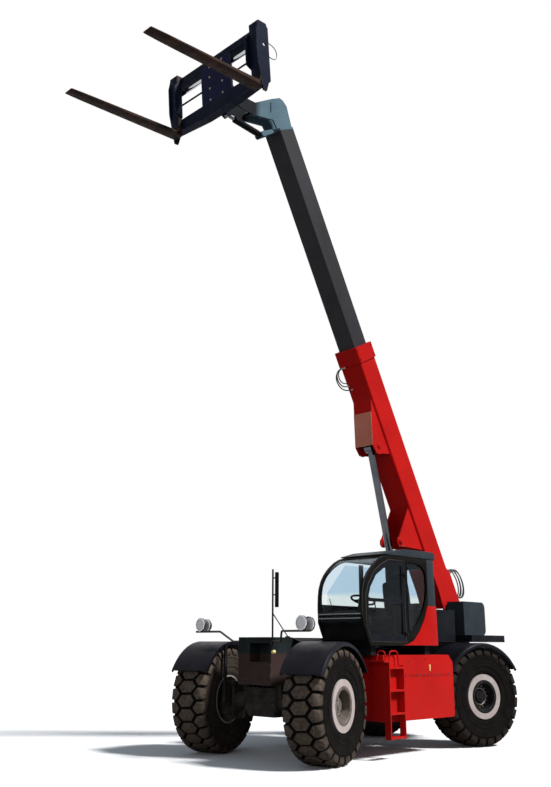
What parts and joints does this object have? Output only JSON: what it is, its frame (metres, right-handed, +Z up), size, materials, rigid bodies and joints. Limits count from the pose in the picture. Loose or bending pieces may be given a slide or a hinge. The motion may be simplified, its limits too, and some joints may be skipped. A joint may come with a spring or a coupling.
{
  "type": "heavy telehandler",
  "caption": "Heavy telescopic handler with a raised two-stage boom, fork carriage, side cab, four steered wheels and a lift cylinder.",
  "frame": {"origin": "on the ground under the middle of the machine's bounding box, as it stands with its boom raised", "axes": "+X forwards, +Y to the machine's left, +Z up"},
  "size_m": [8.8942, 3.311, 11.6527],
  "materials": {
    "tyre": "dusty",
    "rim_paint": "satin",
    "fender_plastic": "satin",
    "axle_paint": "satin",
    "red_paint": "gloss",
    "cab_paint": "satin",
    "slate_paint": "satin",
    "boom_paint": "satin",
    "head_paint": "satin",
    "fork_steel": "worn",
    "cab_glass": "clear",
    "seat_fabric": "woven",
    "chrome_rod": "polished",
    "black_plastic": "satin",
    "cast_block": "rough",
    "dark_paint": "satin"
  },
  "bodies": {
    "chassis": {"axle_front": "axle_paint", "axle_rear": "axle_paint", "cab_glass": "cab_glass", "cab_roof": "slate_paint", "cab_shell": "cab_paint", "cab_sides": "cab_paint", "chassis_frame": "dark_paint", "engine_block": "cast_block", "engine_pod": "dark_paint", "front_block": "dark_paint", "ladder": "red_paint", "mirrors": "black_plastic", "rear_deck": "dark_paint", "rear_hoods": "slate_paint", "seat": "seat_fabric", "steering_column": "black_plastic", "tank_left": "red_paint", "valve_housing": "dark_paint", "work_lamps": "black_plastic"},
    "boom_outer": {"boom_outer": "red_paint"},
    "boom_inner": {"boom_inner": "boom_paint", "boom_head": "head_paint"},
    "carriage": {"carriage": "dark_paint"},
    "fork_left": {"fork_left": "fork_steel"},
    "fork_right": {"fork_right": "fork_steel"},
    "lift_barrel": {"lift_barrel": "dark_paint"},
    "lift_rod": {"lift_rod": "chrome_rod"},
    "tilt_barrel": {"tilt_barrel": "dark_paint"},
    "tilt_rod": {"tilt_rod": "chrome_rod"},
    "cab_door": {"cab_door": "dark_paint", "door_glass": "cab_glass"},
    "engine_hood": {"engine_hood": "slate_paint"},
    "steer_front_left": {"knuckle_front_left": "axle_paint", "fender_front_left": "fender_plastic"},
    "wheel_front_left": {"tyre_front_left": "tyre", "rim_front_left": "rim_paint"},
    "steer_front_right": {"knuckle_front_right": "axle_paint", "fender_front_right": "fender_plastic"},
    "wheel_front_right": {"tyre_front_right": "tyre", "rim_front_right": "rim_paint"},
    "steer_rear_left": {"knuckle_rear_left": "axle_paint", "fender_rear_left": "fender_plastic"},
    "wheel_rear_left": {"tyre_rear_left": "tyre", "rim_rear_left": "rim_paint"},
    "steer_rear_right": {"knuckle_rear_right": "axle_paint", "fender_rear_right": "fender_plastic"},
    "wheel_rear_right": {"tyre_rear_right": "tyre", "rim_rear_right": "rim_paint"}
  },
  "joints": [
    {"name": "boom_lift", "type": "hinge", "parent": "chassis", "child": "boom_outer", "pos_m": [-3.7975, 0, 2.2], "axis": [0, 1, 0], "range_deg": [-6, 65.5]},
    {"name": "boom_extend", "type": "slide", "parent": "boom_outer", "child": "boom_inner", "axis": [0.4741, 0, 0.8805], "range_m": [-3.85, 0]},
    {"name": "carriage_tilt", "type": "hinge", "parent": "boom_inner", "child": "carriage", "pos_m": [1.92816, 0, 10.87204], "axis": [0, -1, 0], "range_deg": [-8, 81]},
    {"name": "fork_left_slide", "type": "slide", "parent": "carriage", "child": "fork_left", "axis": [0, -1, 0], "range_m": [0, 0.75]},
    {"name": "fork_right_slide", "type": "slide", "parent": "carriage", "child": "fork_right", "axis": [0, 1, 0], "range_m": [0, 0.75]},
    {"name": "lift_barrel_pivot", "type": "hinge", "parent": "chassis", "child": "lift_barrel", "pos_m": [-2.8575, 0, 1.25], "axis": [0, 1, 0], "range_deg": [-6.2, 66.65]},
    {"name": "lift_rod_slide", "type": "slide", "parent": "lift_barrel", "child": "lift_rod", "axis": [0.2499, 0, 0.9683], "range_m": [-1.4467, 0.1343]},
    {"name": "cab_door_hinge", "type": "hinge", "parent": "chassis", "child": "cab_door", "pos_m": [-0.9145, 1.38, 2.3], "axis": [0, 0, 1], "range_deg": [0, 100]},
    {"name": "engine_hood_hinge", "type": "hinge", "parent": "chassis", "child": "engine_hood", "pos_m": [-2.1075, -0.88, 1.535], "axis": [0, -1, 0], "range_deg": [0, 60]},
    {"name": "steer_front_left", "type": "hinge", "parent": "chassis", "child": "steer_front_left", "pos_m": [0.8225, 0.93, 0.81], "axis": [0, 0, 1], "range_deg": [-44.5, 15.5]},
    {"name": "wheel_front_left", "type": "hinge", "parent": "steer_front_left", "child": "wheel_front_left", "pos_m": [0.76742, 1.14299, 0.81], "axis": [-0.2504, 0.9681, 0], "continuous": true},
    {"name": "steer_front_right", "type": "hinge", "parent": "chassis", "child": "steer_front_right", "pos_m": [0.8225, -0.93, 0.81], "axis": [0, 0, 1], "range_deg": [-44.5, 15.5]},
    {"name": "wheel_front_right", "type": "hinge", "parent": "steer_front_right", "child": "wheel_front_right", "pos_m": [0.87758, -1.14299, 0.81], "axis": [0.2504, -0.9681, 0], "continuous": true},
    {"name": "steer_rear_left", "type": "hinge", "parent": "chassis", "child": "steer_rear_left", "pos_m": [-3.1275, 0.93, 0.81], "axis": [0, 0, 1], "range_deg": [-15.5, 44.5]},
    {"name": "wheel_rear_left", "type": "hinge", "parent": "steer_rear_left", "child": "wheel_rear_left", "pos_m": [-3.07242, 1.14299, 0.81], "axis": [0.2504, 0.9681, 0], "continuous": true},
    {"name": "steer_rear_right", "type": "hinge", "parent": "chassis", "child": "steer_rear_right", "pos_m": [-3.1275, -0.93, 0.81], "axis": [0, 0, 1], "range_deg": [-15.5, 44.5]},
    {"name": "wheel_rear_right", "type": "hinge", "parent": "steer_rear_right", "child": "wheel_rear_right", "pos_m": [-3.18258, -1.14299, 0.81], "axis": [-0.2504, -0.9681, 0], "continuous": true},
    {"name": "tilt_barrel_pivot", "type": "hinge", "parent": "boom_inner", "child": "tilt_barrel", "pos_m": [1.10729, 0, 10.50765], "axis": [0, -1, 0], "range_deg": [-1.33, 12.56]},
    {"name": "tilt_rod_slide", "type": "slide", "parent": "tilt_barrel", "child": "tilt_rod", "axis": [0.9991, 0, 0.0417], "range_m": [-0.0388, 0.3748]}
  ],
  "couplings": [
    {"joint": "lift_barrel_pivot", "follows": "boom_lift", "ratio": 1.0161},
    {"joint": "lift_rod_slide", "follows": "boom_lift", "m_per_rad": -1.2638},
    {"joint": "tilt_barrel_pivot", "follows": "carriage_tilt", "ratio": 0.15389},
    {"joint": "tilt_rod_slide", "follows": "carriage_tilt", "m_per_rad": 0.2637},
    {"joint": "steer_front_right", "follows": "steer_front_left", "ratio": 1},
    {"joint": "steer_rear_right", "follows": "steer_rear_left", "ratio": 1}
  ]
}
